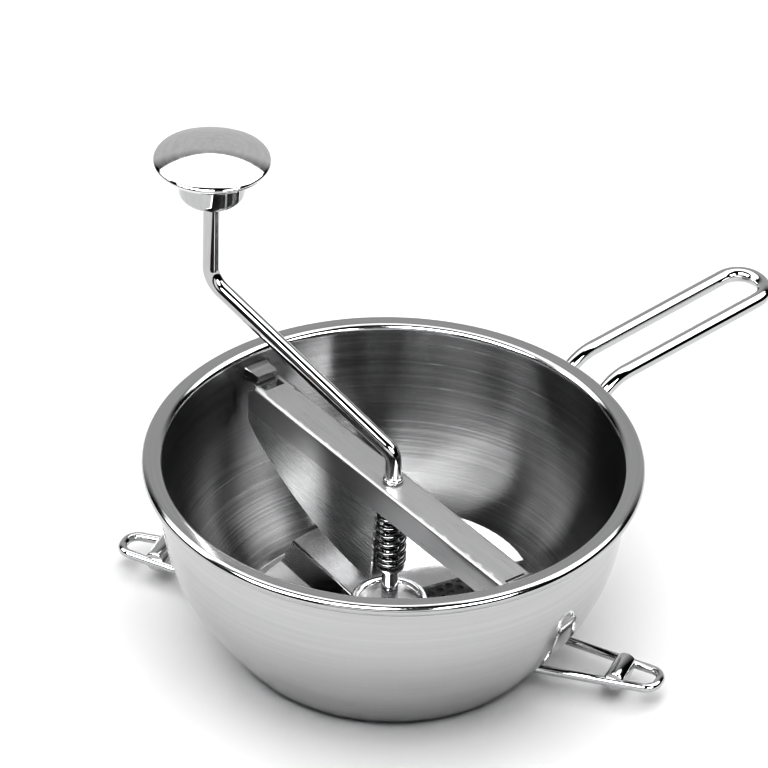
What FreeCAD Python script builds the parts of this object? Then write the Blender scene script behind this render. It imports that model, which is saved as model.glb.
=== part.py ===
import FreeCAD, Part
import math
import os

from FreeCAD import Vector

# Hand-cranked food mill with a bowl for a 24 cm opening. Millimetres and degrees.
# Origin on the bowl axis at the base plane, +Z up, +X along the handle.

# Bowl
rim_outer_radius = 120.0
rim_height = 102.0
rim_curl_radius = 3.0
rim_curl_return = 3.5
bowl_sheet = 1.0
wall_radius = 110.0
belly_radius = 94.4
cone_angle = 36.7
cone_foot_radius = 75.5
seat_height = 3.0
seat_inner_radius = 67.0
seat_bend_radius = 1.5

# Catches pressed into the wall that hold the bridge down
catch_width = 13.0
catch_depth = 9.0
catch_height = 4.5
catch_corner_radius = 1.6

# Sieve
sieve_sheet = 1.0
sieve_edge_clearance = 0.3
sieve_hole_diameter = 3.5
sieve_hole_pitch = 5.7
sieve_plain_centre_radius = 21.0
sieve_plain_margin = 5.5
sieve_bush_radius = 7.0
sieve_bush_flange_radius = 10.0
sieve_bush_flange_height = 1.6
sieve_bush_spigot_drop = 0.8

# Crank rod
rod_diameter = 8.0
pilot_diameter = 6.0
pilot_floor_gap = 0.8
crank_azimuth = 108.0
crank_reach = 103.6
crank_corner_height = 104.8
crank_rise = 61.8
lower_bend_radius = 10.0
upper_bend_radius = 14.0
ring_groove_depth = 0.5

# Rotor
rotor_radius = 70.0
rotor_sheet = 1.5
rotor_azimuth = -7.2
rotor_wing_count = 2
rotor_foot_clearance = 0.4
rotor_lift = 9.6
wing_pitch = 7.5
wing_leading_angle = -11.6
wing_root_angle = 4.0
wing_bend_offset = 10.0
wing_strip_run = 7.0
wing_strip_start = 24.0
wing_foot_end_angle = 155.0
hub_ring_outer_radius = 19.0
hub_ring_inner_radius = 14.5
hub_ring_height = 4.3
collar_radius = 8.0
collar_bush_gap = 0.6

# Bridge
bridge_azimuth = 86.0
bridge_top_height = 88.7
bridge_width = 18.0
bridge_sheet = 1.2
bridge_flange_height = 15.0
bridge_bend_radius = 2.0
bridge_catch_clearance = 0.3
window_start = 94.5
window_length = 5.1
window_width = 11.0
window_corner_radius = 1.6
hook_bar_width = 2.6
flange_reach = 104.0
flange_end_drop = 4.3
baffle_wall_drop = 21.0
baffle_corner_reach = 98.5
baffle_corner_drop = 26.6
baffle_tip_drop = 57.4
baffle_tip_offset = 4.4
baffle_top_offset = 1.6
baffle_edge_radius = 173.0
bridge_bush_radius = 4.7
bridge_bush_collar_radius = 6.5
bridge_bush_collar_height = 1.4

# Spring and its seats
spring_wire = 2.2
spring_mean_radius = 6.4
spring_lower_height = 39.8
spring_closed_pitch = 2.75
spring_closed_turns_low = 2
spring_closed_turns_high = 1
spring_open_turns = 7
spring_seat_gap = 0.3
washer_thickness = 1.0
upper_washer_radius = 7.4
lower_washer_radius = 6.8
retaining_ring_radius = 5.3
retaining_ring_height = 1.6

# Stop ring on the shaft above the bridge
stop_ring_radius = 4.9
stop_ring_height = 2.4
stop_ring_clearance = 0.3

# Knob
knob_radius = 28.0
knob_crown = 6.5
knob_edge_radius = 1.8
knob_sheet = 1.0
knob_cap_return = 9.0
knob_edge_height = 234.5
knob_skirt_drop = 21.4
knob_skirt_top_radius = 17.5
knob_skirt_bottom_radius = 15.5
knob_skirt_corner_radius = 5.5
knob_bush_radius = 6.5
knob_bush_height = 11.0
knob_ring_radius = 5.4
knob_ring_height = 1.6
knob_ring_gap = 0.4
spindle_end_gap = 2.0

# Handle
handle_rod_diameter = 7.5
handle_spacing = 25.0
handle_reach = 240.0
handle_slope = 3.0
handle_bend_reach = 127.0
handle_bend_height = 97.3
handle_bend_radius = 25.0
handle_foot_reach = 108.5
handle_foot_height = 71.5
handle_corner_radius = 12.0

# Rest loops low on the bowl
loop_wire = 4.4
loop_tip_spacing = 14.0
loop_spread = 6.7
loop_azimuth = 117.0
loop_height = 11.0
loop_tip_reach = 141.0
loop_root_reach = 78.0
loop_stop_reach = 119.0
loop_stop_diameter = 10.5

# Fits
running_clearance = 0.05
loose_clearance = 0.3

# Heights and radii worked out from the sizes above
sieve_top = seat_height + sieve_sheet
rod_radius = rod_diameter / 2
pilot_radius = pilot_diameter / 2
groove_radius = rod_radius - ring_groove_depth
foot_bottom = sieve_top + rotor_foot_clearance
foot_top = foot_bottom + rotor_sheet
hub_bottom = sieve_top + rotor_lift
hub_top = hub_bottom + rotor_sheet
bush_top = sieve_top + sieve_bush_flange_height
bridge_underside = bridge_top_height - bridge_sheet
flange_bottom = bridge_top_height - bridge_flange_height
hook_end = window_start + window_length + hook_bar_width
upper_washer_top = bridge_underside - bridge_bush_collar_height
spring_top = upper_washer_top - washer_thickness - spring_seat_gap
spring_bottom = spring_lower_height
lower_washer_top = spring_bottom - spring_seat_gap
retaining_ring_top = lower_washer_top - washer_thickness
stop_ring_bottom = bridge_top_height + stop_ring_clearance
crank_top_corner = crank_corner_height + crank_rise
knob_bottom = knob_edge_height - knob_skirt_drop
knob_bush_top = knob_bottom + knob_bush_height
knob_ring_bottom = knob_bush_top + knob_ring_gap
spindle_top = knob_ring_bottom + knob_ring_height + spindle_end_gap

shortest_run = 1e-6

UP = Vector(0, 0, 1)
ORIGIN = Vector(0, 0, 0)


def save(shape, name):
    """Write one named piece to its own STEP file."""
    if not shape.isValid():
        raise ValueError(name + " is not a valid solid")
    shape.exportStep("parts/" + name + ".step")
    print(name, "solids", len(shape.Solids), "volume", round(shape.Volume, 1))


def line(start, end):
    """A straight edge."""
    return Part.LineSegment(start, end).toShape()


def arc(start, middle, end):
    """A round edge through three points."""
    return Part.Arc(start, middle, end).toShape()


def turned(shape, angle):
    """A copy of the shape turned about the bowl axis."""
    copy = shape.copy()
    copy.rotate(ORIGIN, UP, angle)
    return copy


def rounded_path(points, radii):
    """A wire of straight runs whose inner corners are tangent arcs of the given radii."""
    edges = []
    start = points[0]
    for before, corner, after, radius in zip(points, points[1:], points[2:], radii):
        back = (before - corner).normalize()
        ahead = (after - corner).normalize()
        half_turn = (math.pi - back.getAngle(ahead)) / 2
        reach = radius * math.tan(half_turn)
        first = corner + back * reach
        last = corner + ahead * reach
        inward = (back + ahead).normalize()
        middle = corner + inward * (radius / math.cos(half_turn) - radius)
        if (first - start).Length > shortest_run:
            edges.append(line(start, first))
        edges.append(arc(first, middle, last))
        start = last
    edges.append(line(start, points[-1]))
    return Part.Wire(edges)


def rod_along(path, diameter):
    """A round rod swept along a wire."""
    start = path.OrderedEdges[0]
    origin = start.valueAt(start.FirstParameter)
    direction = start.tangentAt(start.FirstParameter)
    section = Part.Wire([Part.Circle(origin, direction, diameter / 2).toShape()])
    return path.makePipeShell([section], True, False)


def ring(inner, outer, bottom, height):
    """A plain ring about the bowl axis."""
    body = Part.makeCylinder(outer, height, Vector(0, 0, bottom))
    hole = Part.makeCylinder(inner, height, Vector(0, 0, bottom))
    return body.cut(hole)


def polygon_face(points):
    """A flat face inside straight sides."""
    return Part.Face(Part.makePolygon(list(points) + [points[0]]))


def half_plane(radius, height):
    """A point of a turned profile: distance from the axis and height."""
    return Vector(radius, 0, height)


def revolved(edges):
    """A solid turned about the bowl axis from the edges of its half section."""
    face = Part.Face(Part.Wire(Part.__sortEdges__(edges)))
    return face.revolve(ORIGIN, UP, 360)


def bowl_path(inset):
    """Half section of the food side of the sheet, or of the other side when inset by its thickness."""
    slope = math.tan(math.radians(cone_angle))
    belly_corner = seat_height + (wall_radius - cone_foot_radius) / slope
    belly_drop = inset * math.tan(math.radians(cone_angle / 2))
    shift = inset / math.cos(math.radians(cone_angle)) - inset * slope
    curl_bottom = rim_height - 2 * rim_curl_radius + inset
    curl_end = rim_outer_radius - rim_curl_radius - rim_curl_return
    points = [
        half_plane(seat_inner_radius + inset, 0),
        half_plane(seat_inner_radius + inset, seat_height - inset),
        half_plane(cone_foot_radius + shift, seat_height - inset),
        half_plane(wall_radius + inset, belly_corner - belly_drop),
        half_plane(wall_radius + inset, rim_height - inset),
        half_plane(rim_outer_radius - inset, rim_height - inset),
        half_plane(rim_outer_radius - inset, curl_bottom),
        half_plane(curl_end, curl_bottom),
    ]
    outward = rim_curl_radius - inset
    radii = [
        seat_bend_radius - inset,
        seat_bend_radius + inset,
        belly_radius + inset,
        outward,
        outward,
        outward,
    ]
    return points, radii


def bowl_shell():
    """The pressed bowl: sieve seat, cone, belly, upright wall and open curl of the rim."""
    food_points, food_radii = bowl_path(0)
    back_points, back_radii = bowl_path(bowl_sheet)
    food_side = rounded_path(food_points, food_radii)
    back_side = rounded_path(back_points, back_radii)
    ends = [
        line(food_points[0], back_points[0]),
        line(food_points[-1], back_points[-1]),
    ]
    return revolved(food_side.Edges + back_side.Edges + ends)


def bowl_block():
    """The bowl filled up to its rim, used to trim what is welded on from outside."""
    back_points, back_radii = bowl_path(bowl_sheet)
    wall_points = back_points[:5]
    outside = rounded_path(wall_points, back_radii[:3])
    bottom = half_plane(0, 0)
    top = half_plane(0, wall_points[-1].z)
    closing = [
        line(wall_points[-1], top),
        line(top, bottom),
        line(bottom, wall_points[0]),
    ]
    return revolved(outside.Edges + closing)


def catch_block(inset):
    """The raised side of one catch, or the hollow behind it when inset by the sheet."""
    bottom = bridge_top_height + bridge_catch_clearance + inset
    depth = catch_depth - inset
    reach = depth + bowl_sheet
    width = catch_width - 2 * inset
    height = catch_height - 2 * inset
    corner = Vector(wall_radius - depth, -width / 2, bottom)
    block = Part.makeBox(reach, width, height, corner)
    inner_edges = [edge for edge in block.Edges if edge.BoundBox.XMax < corner.x + reach / 2]
    return block.makeFillet(catch_corner_radius - inset, inner_edges)


def make_bowl():
    """The bowl with its two catches, hollow behind like any pressing."""
    bowl = bowl_shell()
    block = bowl_block()
    for angle in (bridge_azimuth, bridge_azimuth + 180):
        raised = turned(catch_block(0), angle).common(block)
        hollow = turned(catch_block(bowl_sheet), angle)
        bowl = bowl.fuse(raised).cut(hollow)
    return bowl.removeSplitter()


def make_sieve():
    """A flat disc with round holes on a triangular grid."""
    seat_bend_room = seat_bend_radius / 2
    edge_radius = cone_foot_radius - seat_bend_room - sieve_edge_clearance
    outline = Part.Wire([Part.Circle(Vector(0, 0, seat_height), UP, edge_radius).toShape()])
    centre_hole = Part.Wire([Part.Circle(Vector(0, 0, seat_height), UP, sieve_bush_radius).toShape()])
    holes = [centre_hole]
    row_step = sieve_hole_pitch * math.sqrt(3) / 2
    outer_limit = edge_radius - sieve_plain_margin - sieve_hole_diameter / 2
    rows = int(outer_limit / row_step) + 1
    columns = int(outer_limit / sieve_hole_pitch) + 2
    for row in range(-rows, rows + 1):
        for column in range(-columns, columns + 1):
            x = (column + (row % 2) / 2) * sieve_hole_pitch
            y = row * row_step
            if sieve_plain_centre_radius < math.hypot(x, y) < outer_limit:
                circle = Part.Circle(Vector(x, y, seat_height), UP, sieve_hole_diameter / 2)
                holes.append(Part.Wire([circle.toShape()]))
    print("sieve holes", len(holes) - 1)
    face = Part.makeFace([outline] + holes, "Part::FaceMakerCheese")
    return face.extrude(Vector(0, 0, sieve_sheet))


def make_sieve_bush():
    """A flanged bush in the middle of the sieve that guides the shaft tip."""
    bore = pilot_radius + running_clearance
    spigot_bottom = seat_height - sieve_bush_spigot_drop
    spigot = ring(bore, sieve_bush_radius, spigot_bottom, bush_top - spigot_bottom)
    flange = ring(bore, sieve_bush_flange_radius, sieve_top, sieve_bush_flange_height)
    return spigot.fuse(flange).removeSplitter()


def make_crank_rod():
    """Shaft, sloping arm and knob spindle bent from one rod, with ring grooves and a thin pilot."""
    angle = math.radians(crank_azimuth)
    arm_x = crank_reach * math.cos(angle)
    arm_y = crank_reach * math.sin(angle)
    points = [
        Vector(0, 0, bush_top + collar_bush_gap),
        Vector(0, 0, crank_corner_height),
        Vector(arm_x, arm_y, crank_top_corner),
        Vector(arm_x, arm_y, spindle_top),
    ]
    rod = rod_along(rounded_path(points, [lower_bend_radius, upper_bend_radius]), rod_diameter)
    pilot_length = bush_top + collar_bush_gap - pilot_floor_gap
    rod = rod.fuse(Part.makeCylinder(pilot_radius, pilot_length, Vector(0, 0, pilot_floor_gap)))
    groove_outer = rod_radius + running_clearance
    spring_groove_bottom = retaining_ring_top - retaining_ring_height
    rod = rod.cut(ring(groove_radius, groove_outer, spring_groove_bottom, retaining_ring_height))
    rod = rod.cut(ring(groove_radius, groove_outer, stop_ring_bottom, stop_ring_height))
    knob_groove = ring(groove_radius, groove_outer, knob_ring_bottom, knob_ring_height)
    knob_groove.translate(Vector(arm_x, arm_y, 0))
    return rod.cut(knob_groove).removeSplitter()


def make_stop_ring():
    """A ring in the shaft's upper groove whose outer face is a half-round bead."""
    bead = stop_ring_height / 2
    flat = stop_ring_radius - bead
    middle = stop_ring_bottom + bead
    top = stop_ring_bottom + stop_ring_height
    inner_bottom = half_plane(groove_radius, stop_ring_bottom)
    inner_top = half_plane(groove_radius, top)
    outer_bottom = half_plane(flat, stop_ring_bottom)
    outer_top = half_plane(flat, top)
    edges = [
        line(inner_bottom, outer_bottom),
        arc(outer_bottom, half_plane(stop_ring_radius, middle), outer_top),
        line(outer_top, inner_top),
        line(inner_top, inner_bottom),
    ]
    return revolved(edges)


def wing_prism():
    """Plan of one raised wing, from its leading edge round to its bend, as a tall block."""
    inner = (hub_ring_inner_radius + hub_ring_outer_radius) / 2
    lead = math.radians(wing_leading_angle)
    root = math.radians(wing_root_angle)
    inner_bend = math.sqrt(inner ** 2 - wing_bend_offset ** 2)
    outer_bend = math.sqrt(rotor_radius ** 2 - wing_bend_offset ** 2)
    lead_inner = Vector(inner * math.cos(root), inner * math.sin(root), 0)
    lead_outer = Vector(rotor_radius * math.cos(lead), rotor_radius * math.sin(lead), 0)
    bend_inner = Vector(-wing_bend_offset, inner_bend, 0)
    bend_outer = Vector(-wing_bend_offset, outer_bend, 0)
    middle = math.radians((wing_leading_angle + 90) / 2)
    outer_middle = Vector(rotor_radius * math.cos(middle), rotor_radius * math.sin(middle), 0)
    inner_middle = Vector(inner * math.cos(middle), inner * math.sin(middle), 0)
    outline = Part.Wire([
        line(lead_inner, lead_outer),
        arc(lead_outer, outer_middle, bend_outer),
        line(bend_outer, bend_inner),
        arc(bend_inner, inner_middle, lead_inner),
    ])
    return Part.Face(outline).extrude(Vector(0, 0, 2 * rotor_radius))


def make_wing():
    """One wing: a pitched sector, a strip bent down behind it and a flat foot on the sieve."""
    pitch = math.radians(wing_pitch)
    slab_side = 4 * rotor_radius
    slab = Part.makeBox(slab_side, slab_side, rotor_sheet, Vector(-slab_side / 2, -slab_side / 2, 0))
    slab.rotate(ORIGIN, Vector(0, 1, 0), -wing_pitch)
    slab.translate(Vector(0, 0, hub_bottom))
    sector = wing_prism().common(slab)

    bend_bottom = hub_bottom - wing_bend_offset * math.tan(pitch)
    bend_top = bend_bottom + rotor_sheet / math.cos(pitch)
    strip_end = -wing_bend_offset - wing_strip_run
    fall = (bend_top - foot_top) / wing_strip_run
    upright = rotor_sheet * math.hypot(1, fall)
    under_meets_foot = -wing_bend_offset + (foot_bottom - bend_top + upright) / fall
    strip_section = polygon_face([
        Vector(-wing_bend_offset, wing_strip_start, bend_top),
        Vector(strip_end, wing_strip_start, foot_top),
        Vector(strip_end, wing_strip_start, foot_bottom),
        Vector(under_meets_foot, wing_strip_start, foot_bottom),
        Vector(-wing_bend_offset, wing_strip_start, bend_top - upright),
    ])
    strip = strip_section.extrude(Vector(0, rotor_radius - wing_strip_start, 0))
    round_bar = Part.makeCylinder(rotor_radius, hub_top)
    strip = strip.common(round_bar)

    end = math.radians(wing_foot_end_angle)
    foot_start = Vector(strip_end, math.sqrt(rotor_radius ** 2 - strip_end ** 2), foot_bottom)
    foot_end = Vector(rotor_radius * math.cos(end), rotor_radius * math.sin(end), foot_bottom)
    start_angle = math.atan2(foot_start.y, foot_start.x)
    middle = (start_angle + end) / 2
    foot_middle = Vector(rotor_radius * math.cos(middle), rotor_radius * math.sin(middle), foot_bottom)
    foot_inner = Vector(strip_end, wing_strip_start, foot_bottom)
    foot_outline = Part.Wire([
        line(foot_inner, foot_start),
        arc(foot_start, foot_middle, foot_end),
        line(foot_end, foot_inner),
    ])
    foot = Part.Face(foot_outline).extrude(Vector(0, 0, rotor_sheet))
    return sector.fuse([strip, foot])


def make_rotor():
    """The pressing blade: a beaded hub and two wings half a turn apart."""
    bead = (hub_ring_outer_radius - hub_ring_inner_radius) / 2
    bead_middle = (hub_ring_outer_radius + hub_ring_inner_radius) / 2
    crown = hub_top + hub_ring_height
    skirt = hub_bottom - hub_ring_outer_radius * math.tan(math.radians(wing_pitch))
    shoulder = crown - bead
    inner_foot = half_plane(hub_ring_inner_radius, skirt)
    outer_foot = half_plane(hub_ring_outer_radius, skirt)
    outer_shoulder = half_plane(hub_ring_outer_radius, shoulder)
    inner_shoulder = half_plane(hub_ring_inner_radius, shoulder)
    bead_edges = [
        line(inner_foot, outer_foot),
        line(outer_foot, outer_shoulder),
        arc(outer_shoulder, half_plane(bead_middle, crown), inner_shoulder),
        line(inner_shoulder, inner_foot),
    ]
    hub = revolved(bead_edges)
    hub = hub.fuse(ring(rod_radius, bead_middle, hub_bottom, rotor_sheet))
    wings = []
    for index in range(rotor_wing_count):
        wings.append(turned(make_wing(), index * 360 / rotor_wing_count))
    rotor = hub.fuse(wings).removeSplitter()
    return turned(rotor, rotor_azimuth)


def make_rotor_collar():
    """A collar under the hub that ties the blade to the shaft."""
    bottom = bush_top + collar_bush_gap
    return ring(rod_radius, collar_radius, bottom, hub_bottom - bottom)


def channel_section():
    """The inverted U of the bridge's sheet, with rounded bends."""
    half = bridge_width / 2

    def side_path(inset, bend):
        edge = half - inset
        top = bridge_top_height - inset
        points = [
            Vector(0, -edge, flange_bottom),
            Vector(0, -edge, top),
            Vector(0, edge, top),
            Vector(0, edge, flange_bottom),
        ]
        return points, rounded_path(points, [bend, bend])

    outer_points, outer = side_path(0, bridge_bend_radius)
    inner_points, inner = side_path(bridge_sheet, bridge_bend_radius - bridge_sheet)
    feet = [
        line(outer_points[0], inner_points[0]),
        line(outer_points[-1], inner_points[-1]),
    ]
    return Part.Face(Part.Wire(Part.__sortEdges__(outer.Edges + inner.Edges + feet)))


def end_waste(side):
    """What is cut away above the sloping end of both flanges."""
    slope_start = window_start + window_length
    spare = bridge_flange_height
    half = bridge_width / 2 + spare
    waste = polygon_face([
        Vector(slope_start, -half, bridge_top_height + spare),
        Vector(slope_start, -half, bridge_top_height - bridge_sheet),
        Vector(flange_reach, -half, bridge_top_height - flange_end_drop),
        Vector(flange_reach + spare, -half, bridge_top_height - flange_end_drop),
        Vector(flange_reach + spare, -half, bridge_top_height + spare),
    ]).extrude(Vector(0, 2 * half, 0))
    return turned(waste, 0 if side > 0 else 180)


def make_baffle():
    """The plate below one half of the near flange that pushes food under the blade."""
    side = bridge_width / 2 - bridge_sheet
    corner = Vector(baffle_corner_reach, side, bridge_top_height - baffle_corner_drop)
    tip = Vector(baffle_tip_offset, side, bridge_top_height - baffle_tip_drop)
    wall_foot = Vector(flange_reach, side, bridge_top_height - baffle_wall_drop)
    chord = corner - tip
    sag = baffle_edge_radius - math.sqrt(baffle_edge_radius ** 2 - chord.Length ** 2 / 4)
    downward = Vector(chord.z, 0, -chord.x).normalize()
    arc_middle = (corner + tip) / 2 + downward * sag
    top_edge = [
        corner,
        wall_foot,
        Vector(flange_reach, side, flange_bottom),
        Vector(baffle_top_offset, side, flange_bottom),
        tip,
    ]
    edges = [arc(tip, arc_middle, corner)] + Part.makePolygon(top_edge).Edges
    return Part.Face(Part.Wire(edges)).extrude(Vector(0, bridge_sheet, 0))


def hook_window(side):
    """The opening near one end of the top face that leaves a bar to hook under a catch."""
    window = Part.makeBox(window_length, window_width, 2 * bridge_sheet,
                          Vector(window_start, -window_width / 2, bridge_top_height - 2 * bridge_sheet))
    upright = [edge for edge in window.Edges if edge.BoundBox.ZLength > bridge_sheet]
    return turned(window.makeFillet(window_corner_radius, upright), 0 if side > 0 else 180)


def make_bridge():
    """The sheet channel across the bowl with its hook bars and the baffle that feeds the blade."""
    section = channel_section()
    section.translate(Vector(-flange_reach, 0, 0))
    bridge = section.extrude(Vector(2 * flange_reach, 0, 0))
    bar_room = bridge_width / 2 - bridge_sheet - loose_clearance
    bar_corner = Vector(-hook_end, -bar_room, bridge_underside)
    bars = Part.makeBox(2 * hook_end, 2 * bar_room, bridge_sheet, bar_corner)
    for side in (1, -1):
        bridge = bridge.cut(end_waste(side))
    bridge = bridge.fuse([bars, make_baffle()]).removeSplitter()
    for side in (1, -1):
        bridge = bridge.cut(hook_window(side))
    shaft_hole = Part.makeCylinder(bridge_bush_radius, bridge_width, Vector(0, 0, flange_bottom))
    return turned(bridge.cut(shaft_hole), bridge_azimuth)


def make_bridge_bush():
    """A plain bearing pressed into the bridge from below."""
    bore = rod_radius + running_clearance
    sleeve = ring(bore, bridge_bush_radius, bridge_underside, bridge_sheet)
    collar = ring(bore, bridge_bush_collar_radius, upper_washer_top, bridge_bush_collar_height)
    return sleeve.fuse(collar).removeSplitter()


def make_upper_washer():
    """The washer between the bridge's bush and the top of the spring."""
    bottom = upper_washer_top - washer_thickness
    return ring(rod_radius + loose_clearance, upper_washer_radius, bottom, washer_thickness)


def make_lower_washer():
    """The washer under the spring, carried by the retaining ring."""
    return ring(rod_radius, lower_washer_radius, retaining_ring_top, washer_thickness)


def make_spring_ring():
    """The ring in the shaft's lower groove that carries the spring."""
    bottom = retaining_ring_top - retaining_ring_height
    return ring(groove_radius, retaining_ring_radius, bottom, retaining_ring_height)


def spring_points():
    """Points and directions of the spring's wire, one for each quarter turn."""
    turns = spring_closed_turns_low + spring_open_turns + spring_closed_turns_high
    closed = spring_closed_turns_low + spring_closed_turns_high
    climb = spring_top - spring_bottom - spring_wire
    open_pitch = (climb - closed * spring_closed_pitch) / spring_open_turns
    pitches = [spring_closed_pitch] * (4 * spring_closed_turns_low)
    pitches += [open_pitch] * (4 * spring_open_turns)
    pitches += [spring_closed_pitch] * (4 * spring_closed_turns_high)
    height = spring_bottom + spring_wire / 2
    points = []
    for quarter in range(4 * turns + 1):
        angle = quarter * math.pi / 2
        before = pitches[max(quarter - 1, 0)]
        after = pitches[min(quarter, 4 * turns - 1)]
        rise = (before + after) / 2 / (2 * math.pi)
        place = Vector(spring_mean_radius * math.cos(angle), spring_mean_radius * math.sin(angle), height)
        heading = Vector(-spring_mean_radius * math.sin(angle), spring_mean_radius * math.cos(angle), rise)
        points.append((place, heading.normalize()))
        height += after / 4
    return points, open_pitch


def biarc(start, start_heading, end, end_heading):
    """Two arcs that leave and arrive along the given headings and meet smoothly."""
    across = end - start
    both = start_heading + end_heading
    square = 2 * start_heading.dot(end_heading) - 2
    cross = across.dot(both)
    reach = (cross - math.sqrt(cross ** 2 - square * across.dot(across))) / square
    first_corner = start + start_heading * reach
    last_corner = end - end_heading * reach
    joint = (first_corner + last_corner) / 2
    arcs = []
    for a, corner, b in ((start, first_corner, joint), (joint, last_corner, end)):
        weight = (b - a).Length / (2 * reach)
        middle = (a + corner * (2 * weight) + b) / (2 * (1 + weight))
        arcs.append(arc(a, middle, b))
    return arcs


def make_spring():
    """The open coil spring with closed end turns and straight wire ends."""
    points, open_pitch = spring_points()
    first, first_heading = points[0]
    last, last_heading = points[-1]
    edges = [line(first - first_heading * spring_wire, first)]
    for (start, heading), (end, next_heading) in zip(points, points[1:]):
        edges += biarc(start, heading, end, next_heading)
    edges.append(line(last, last + last_heading * spring_wire))
    path = Part.Wire(edges)
    spring = rod_along(path, spring_wire)
    print("spring pitch", round(open_pitch, 3), "least gap", round(least_gap(path), 3))
    print("spring volume over section times length",
          round(spring.Volume / (math.pi * spring_wire ** 2 / 4 * path.Length), 4))
    return spring


def least_gap(path):
    """Least gap between turns of the wire, measured on points along its centre line."""
    steps = 12 * len(path.Edges) // 2
    places = path.discretize(Number=steps)
    spacing = path.Length / (steps - 1)
    apart = int(math.pi * spring_mean_radius / spacing)
    nearest = min(
        (places[i] - places[j]).Length
        for i in range(0, steps, 2)
        for j in range(i + apart, min(i + 3 * apart, steps))
    )
    return nearest - spring_wire


def make_knob_cap():
    """The domed sheet cap with a rounded edge turned back underneath."""
    flat = knob_radius - knob_edge_radius
    under = knob_edge_height - knob_edge_radius
    under_inside = under + knob_sheet
    dome_foot = knob_edge_height + knob_edge_radius
    dome_top = dome_foot + knob_crown
    dome_radius = (flat ** 2 + knob_crown ** 2) / (2 * knob_crown)
    dome_centre = dome_top - dome_radius
    return_end = flat - knob_cap_return

    def dome(radius, share):
        reach = flat * share
        return half_plane(reach, dome_centre + math.sqrt(radius ** 2 - reach ** 2))

    outside = [dome(dome_radius, share) for share in (0, 0.5, 1)]
    inside = [dome(dome_radius - knob_sheet, share) for share in (1, 0.5, 0)]
    edge_outside = half_plane(knob_radius, knob_edge_height)
    edge_inside = half_plane(knob_radius - knob_sheet, knob_edge_height)
    edges = [
        arc(*outside),
        arc(outside[-1], edge_outside, half_plane(flat, under)),
        line(half_plane(flat, under), half_plane(return_end, under)),
        line(half_plane(return_end, under), half_plane(return_end, under_inside)),
        line(half_plane(return_end, under_inside), half_plane(flat, under_inside)),
        arc(half_plane(flat, under_inside), edge_inside, inside[0]),
        arc(*inside),
        line(inside[-1], outside[0]),
    ]
    return at_knob(revolved(edges))


def at_knob(shape):
    """Move a piece turned about the bowl axis to the knob spindle."""
    angle = math.radians(crank_azimuth)
    shape.translate(Vector(crank_reach * math.cos(angle), crank_reach * math.sin(angle), 0))
    return shape


def make_knob_skirt():
    """The tapered cup under the cap, closed at the bottom round its bush."""
    top = knob_edge_height - knob_edge_radius
    floor = knob_bottom + knob_sheet
    lean = (knob_skirt_top_radius - knob_skirt_bottom_radius) / (top - knob_bottom)
    side_shift = knob_sheet * math.hypot(1, lean)
    outer_points = [
        half_plane(knob_bush_radius, knob_bottom),
        half_plane(knob_skirt_bottom_radius, knob_bottom),
        half_plane(knob_skirt_top_radius, top),
    ]
    inner_points = [
        half_plane(knob_bush_radius, floor),
        half_plane(knob_skirt_bottom_radius + lean * knob_sheet - side_shift, floor),
        half_plane(knob_skirt_top_radius - side_shift, top),
    ]
    outer = rounded_path(outer_points, [knob_skirt_corner_radius])
    inner = rounded_path(inner_points, [knob_skirt_corner_radius - knob_sheet])
    ends = [
        line(outer_points[0], inner_points[0]),
        line(outer_points[-1], inner_points[-1]),
    ]
    return at_knob(revolved(outer.Edges + inner.Edges + ends))


def make_knob_bush():
    """The sleeve in the knob that turns on the spindle."""
    return at_knob(ring(rod_radius + running_clearance, knob_bush_radius, knob_bottom, knob_bush_height))


def make_knob_ring():
    """The ring in the spindle's groove that keeps the knob on."""
    return at_knob(ring(groove_radius, knob_ring_radius, knob_ring_bottom, knob_ring_height))


def make_handle(block):
    """Two parallel rods joined by a U, bent down under the rim and welded to the wall."""
    side = handle_spacing / 2
    rise = math.tan(math.radians(handle_slope))
    end_reach = handle_reach - handle_rod_diameter / 2
    end_height = handle_bend_height + (end_reach - handle_bend_reach) * rise
    points = [
        Vector(handle_foot_reach, side, handle_foot_height),
        Vector(handle_bend_reach, side, handle_bend_height),
        Vector(end_reach, side, end_height),
        Vector(end_reach, -side, end_height),
        Vector(handle_bend_reach, -side, handle_bend_height),
        Vector(handle_foot_reach, -side, handle_foot_height),
    ]
    radii = [handle_bend_radius, handle_corner_radius, handle_corner_radius, handle_bend_radius]
    return rod_along(rounded_path(points, radii), handle_rod_diameter).cut(block)


def loop_half_width(reach):
    """Half the spacing of a rest loop's wires at a distance from the bowl axis."""
    bend = loop_tip_reach - loop_wire / 2
    return loop_tip_spacing / 2 + (bend - reach) * math.tan(math.radians(loop_spread))


def make_loop(block, azimuth):
    """A wire loop standing out from the lower bowl, narrower at its rounded tip."""
    tip = loop_tip_reach - loop_wire / 2
    root_side = loop_half_width(loop_root_reach)
    tip_side = loop_half_width(tip)
    points = [
        Vector(loop_root_reach, root_side, loop_height),
        Vector(tip, tip_side, loop_height),
        Vector(tip, -tip_side, loop_height),
        Vector(loop_root_reach, -root_side, loop_height),
    ]
    corner = tip_side - loose_clearance
    loop = rod_along(rounded_path(points, [corner, corner]), loop_wire)
    return turned(loop, azimuth).cut(block)


def make_loop_stop(loop, azimuth):
    """A cross tube seated between the two wires of a rest loop."""
    side = loop_half_width(loop_stop_reach)
    start = Vector(loop_stop_reach, -side, loop_height)
    across = Vector(0, 1, 0)
    tube = Part.makeCylinder(loop_stop_diameter / 2, 2 * side, start, across)
    stop = turned(tube, azimuth).cut(loop)
    return max(stop.Solids, key=lambda solid: solid.Volume)


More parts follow.
